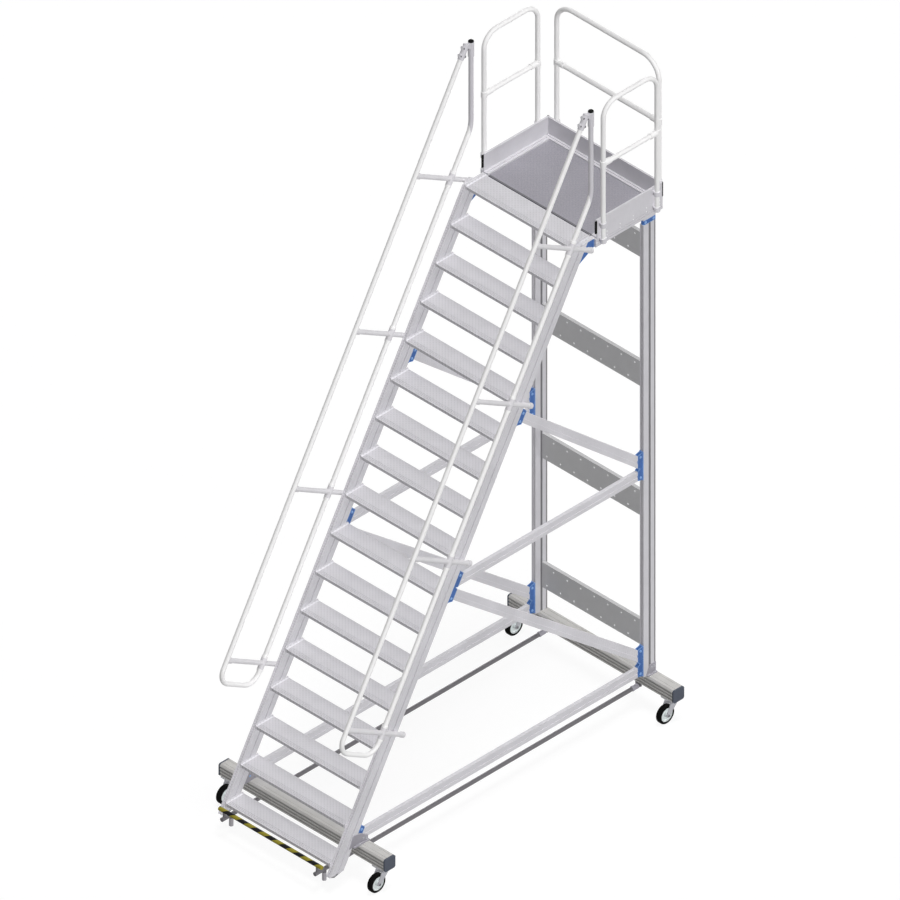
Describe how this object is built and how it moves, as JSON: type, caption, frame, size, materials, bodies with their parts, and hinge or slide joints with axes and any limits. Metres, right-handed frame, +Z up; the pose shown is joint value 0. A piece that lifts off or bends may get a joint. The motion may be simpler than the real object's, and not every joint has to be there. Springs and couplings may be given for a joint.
{
  "type": "mobile platform stairs",
  "caption": "Steep mobile stairs to a railed work platform on a braced aluminium frame, rolling on swivel casters with a foot bar.",
  "frame": {"origin": "middle of the footprint on the floor: the centre of the bounding box at the height of the wheels' contact", "axes": "+Z up, +Y the way one climbs, from the foot bar to the platform, +X to the climber's right"},
  "size_m": [1.536, 3.1629, 5.135],
  "materials": {
    "tread_aluminium": "ribbed extruded aluminium, matt",
    "frame_aluminium": "extruded aluminium, matt",
    "beam_aluminium": "extruded aluminium, matt, warm grey",
    "board_aluminium": "folded aluminium sheet",
    "floor_aluminium": "ribbed aluminium floor",
    "rail_tube": "round aluminium tube",
    "joint_blue": "blue coated casting",
    "bracket_metal": "cast aluminium",
    "foot_plastic": "moulded plastic",
    "cap_plastic": "moulded plastic",
    "black_plastic": "moulded plastic",
    "rod_steel": "dark grey coated steel tube",
    "bar_paint": "yellow and black striped paint",
    "caster_steel": "zinc plated pressed steel",
    "rim_plastic": "pale grey moulded plastic",
    "tyre_rubber": "black solid rubber"
  },
  "bodies": {
    "frame": {"tread_01": "tread_aluminium", "tread_02": "tread_aluminium", "tread_03": "tread_aluminium", "tread_04": "tread_aluminium", "tread_05": "tread_aluminium", "tread_06": "tread_aluminium", "tread_07": "tread_aluminium", "tread_08": "tread_aluminium", "tread_09": "tread_aluminium", "tread_10": "tread_aluminium", "tread_11": "tread_aluminium", "tread_12": "tread_aluminium", "tread_13": "tread_aluminium", "tread_14": "tread_aluminium", "tread_15": "tread_aluminium", "tread_16": "tread_aluminium", "tread_17": "tread_aluminium", "stringer_left": "frame_aluminium", "post_left": "frame_aluminium", "braces_left": "frame_aluminium", "brace_joints_left": "joint_blue", "side_railing_left": "rail_tube", "handrail_left": "rail_tube", "handrail_struts_left": "rail_tube", "stringer_right": "frame_aluminium", "post_right": "frame_aluminium", "braces_right": "frame_aluminium", "brace_joints_right": "joint_blue", "side_railing_right": "rail_tube", "handrail_right": "rail_tube", "handrail_struts_right": "rail_tube", "foot_plugs": "foot_plastic", "beam_front": "beam_aluminium", "beam_rear": "beam_aluminium", "beam_caps": "cap_plastic", "cross_boards": "board_aluminium", "front_brackets": "bracket_metal", "rear_brackets": "bracket_metal", "platform_frame": "frame_aluminium", "platform_floor": "floor_aluminium", "toe_boards": "frame_aluminium", "toe_board_caps": "black_plastic", "rear_railing": "rail_tube", "railing_clamps": "bracket_metal", "handrail_caps": "black_plastic", "lift_rods": "rod_steel", "lift_bar": "bar_paint", "caster_plates": "caster_steel"},
    "swivel_front_left": {"fork_front_left": "caster_steel"},
    "wheel_front_left": {"rim_front_left": "rim_plastic", "tyre_front_left": "tyre_rubber"},
    "swivel_front_right": {"fork_front_right": "caster_steel"},
    "wheel_front_right": {"rim_front_right": "rim_plastic", "tyre_front_right": "tyre_rubber"},
    "swivel_rear_left": {"fork_rear_left": "caster_steel"},
    "wheel_rear_left": {"rim_rear_left": "rim_plastic", "tyre_rear_left": "tyre_rubber"},
    "swivel_rear_right": {"fork_rear_right": "caster_steel"},
    "wheel_rear_right": {"rim_rear_right": "rim_plastic", "tyre_rear_right": "tyre_rubber"}
  },
  "joints": [
    {"name": "swivel_front_left_turn", "type": "hinge", "parent": "frame", "child": "swivel_front_left", "pos_m": [-0.699, -1.22251, 0.169], "axis": [0, 0, 1], "continuous": true},
    {"name": "wheel_front_left_roll", "type": "hinge", "parent": "swivel_front_left", "child": "wheel_front_left", "pos_m": [-0.699, -1.28051, 0.07], "axis": [1, 0, 0], "continuous": true},
    {"name": "swivel_front_right_turn", "type": "hinge", "parent": "frame", "child": "swivel_front_right", "pos_m": [0.699, -1.22251, 0.169], "axis": [0, 0, 1], "continuous": true},
    {"name": "wheel_front_right_roll", "type": "hinge", "parent": "swivel_front_right", "child": "wheel_front_right", "pos_m": [0.699, -1.28051, 0.07], "axis": [1, 0, 0], "continuous": true},
    {"name": "swivel_rear_left_turn", "type": "hinge", "parent": "frame", "child": "swivel_rear_left", "pos_m": [-0.699, 1.44651, 0.169], "axis": [0, 0, 1], "continuous": true},
    {"name": "wheel_rear_left_roll", "type": "hinge", "parent": "swivel_rear_left", "child": "wheel_rear_left", "pos_m": [-0.699, 1.38851, 0.07], "axis": [1, 0, 0], "continuous": true},
    {"name": "swivel_rear_right_turn", "type": "hinge", "parent": "frame", "child": "swivel_rear_right", "pos_m": [0.699, 1.44651, 0.169], "axis": [0, 0, 1], "continuous": true},
    {"name": "wheel_rear_right_roll", "type": "hinge", "parent": "swivel_rear_right", "child": "wheel_rear_right", "pos_m": [0.699, 1.38851, 0.07], "axis": [1, 0, 0], "continuous": true}
  ]
}
